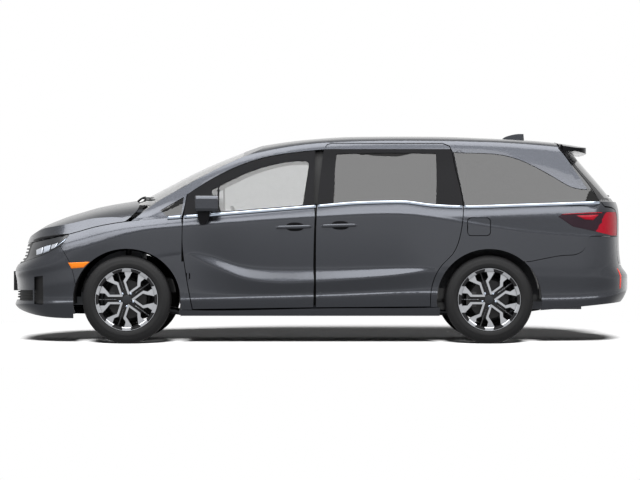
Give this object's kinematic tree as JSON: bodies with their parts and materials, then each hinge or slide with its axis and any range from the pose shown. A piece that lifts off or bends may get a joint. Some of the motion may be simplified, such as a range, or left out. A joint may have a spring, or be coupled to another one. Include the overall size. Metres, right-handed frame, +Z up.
{
  "type": "minivan",
  "caption": "Long minivan with swinging front doors, sliding rear doors, lifting tailgate and bonnet, steered front wheels and three rows of seats.",
  "frame": {"origin": "on the ground under the middle of the overall length and width", "axes": "-X towards the front of the car, -Y towards its left side, +Z up"},
  "size_m": [5.2178, 2.19, 1.7647],
  "materials": {
    "body_paint": "dark grey metallic",
    "black_gloss": "gloss black",
    "black_trim": "grained black",
    "glass_clear": "clear tinted",
    "glass_dark": "privacy tint",
    "lamp_clear": "clear lens",
    "lamp_red": "red lens",
    "tyre": "black rubber",
    "alloy": "machined face, dark pockets",
    "frame_black": "black under coating",
    "cast": "cast",
    "engine": "cast aluminium",
    "steel": "satin",
    "seat": "dark grey",
    "cabin_plastic": "soft black"
  },
  "bodies": {
    "body": {"sliding_door_left": "body_paint", "sliding_door_right": "body_paint", "fixed_side_glass": "glass_dark", "body_side_left": "body_paint", "body_side_right": "body_paint", "roof_panel": "body_paint", "front_wings": "body_paint", "front_bumper": "body_paint", "grille": "black_gloss", "headlamps": "lamp_clear", "windshield": "glass_clear", "cowl": "black_trim", "rear_bumper": "body_paint", "tail_lamps": "lamp_red", "floor_pan": "frame_black", "front_frame": "frame_black", "engine_block": "engine", "rear_axle": "cast", "front_seats": "seat", "second_row_seats": "seat", "third_row_bench": "seat", "dashboard": "cabin_plastic", "quarter_trims": "black_trim", "bumper_inserts": "black_trim", "plate_bracket": "black_trim", "front_wheelhouses": "frame_black", "fuel_tank": "black_trim", "exhaust": "steel", "roof_aerial": "body_paint"},
    "door_left": {"door_front_left": "body_paint", "door_glass_left": "glass_clear", "mirror_left": "body_paint"},
    "door_right": {"door_front_right": "body_paint", "door_glass_right": "glass_clear", "mirror_right": "body_paint"},
    "tailgate": {"tailgate": "body_paint", "tailgate_glass": "glass_dark"},
    "bonnet": {"bonnet": "body_paint"},
    "fuel_door": {"fuel_door": "body_paint"},
    "steering_wheel": {"steering_wheel": "cabin_plastic"},
    "knuckle_left": {"knuckle_left": "cast"},
    "knuckle_right": {"knuckle_right": "cast"},
    "wheel_front_left": {"tyre_front_left": "tyre", "rim_front_left": "alloy"},
    "wheel_front_right": {"tyre_front_right": "tyre", "rim_front_right": "alloy"},
    "wheel_rear_left": {"tyre_rear_left": "tyre", "rim_rear_left": "alloy"},
    "wheel_rear_right": {"tyre_rear_right": "tyre", "rim_rear_right": "alloy"}
  },
  "joints": [
    {"name": "left_door_hinge", "type": "hinge", "parent": "body", "child": "door_left", "pos_m": [-1.092, -0.962, 0.8], "axis": [0, 0, -1], "range_deg": [0, 65]},
    {"name": "right_door_hinge", "type": "hinge", "parent": "body", "child": "door_right", "pos_m": [-1.092, 0.962, 0.8], "axis": [0, 0, 1], "range_deg": [0, 65]},
    {"name": "tailgate_hinge", "type": "hinge", "parent": "body", "child": "tailgate", "pos_m": [1.99, 0, 1.676], "axis": [0, -1, 0], "range_deg": [0, 80]},
    {"name": "bonnet_hinge", "type": "hinge", "parent": "body", "child": "bonnet", "pos_m": [-1.42, 0, 1.1], "axis": [0, 1, 0], "range_deg": [0, 50]},
    {"name": "fuel_door_hinge", "type": "hinge", "parent": "body", "child": "fuel_door", "pos_m": [1.19, -0.968, 0.968], "axis": [0, 0, -1], "range_deg": [0, 75]},
    {"name": "steer_left", "type": "hinge", "parent": "body", "child": "knuckle_left", "pos_m": [-1.6, -0.7955, 0.366], "axis": [0, 0, 1], "range_deg": [-33, 33]},
    {"name": "steer_right", "type": "hinge", "parent": "body", "child": "knuckle_right", "pos_m": [-1.6, 0.7955, 0.366], "axis": [0, 0, 1], "range_deg": [-33, 33]},
    {"name": "steering_wheel_turn", "type": "hinge", "parent": "body", "child": "steering_wheel", "pos_m": [-0.655, -0.4, 0.981], "axis": [0.866, 0, 0.5], "range_deg": [-462, 462]},
    {"name": "spin_front_left", "type": "hinge", "parent": "knuckle_left", "child": "wheel_front_left", "pos_m": [-1.6, -0.8555, 0.366], "axis": [0, 1, 0], "continuous": true},
    {"name": "spin_front_right", "type": "hinge", "parent": "knuckle_right", "child": "wheel_front_right", "pos_m": [-1.6, 0.8555, 0.366], "axis": [0, 1, 0], "continuous": true},
    {"name": "spin_rear_left", "type": "hinge", "parent": "body", "child": "wheel_rear_left", "pos_m": [1.4, -0.8555, 0.366], "axis": [0, 1, 0], "continuous": true},
    {"name": "spin_rear_right", "type": "hinge", "parent": "body", "child": "wheel_rear_right", "pos_m": [1.4, 0.8555, 0.366], "axis": [0, 1, 0], "continuous": true}
  ],
  "couplings": [
    {"joint": "steer_right", "follows": "steer_left", "ratio": 1},
    {"joint": "steering_wheel_turn", "follows": "steer_left", "ratio": 14}
  ]
}
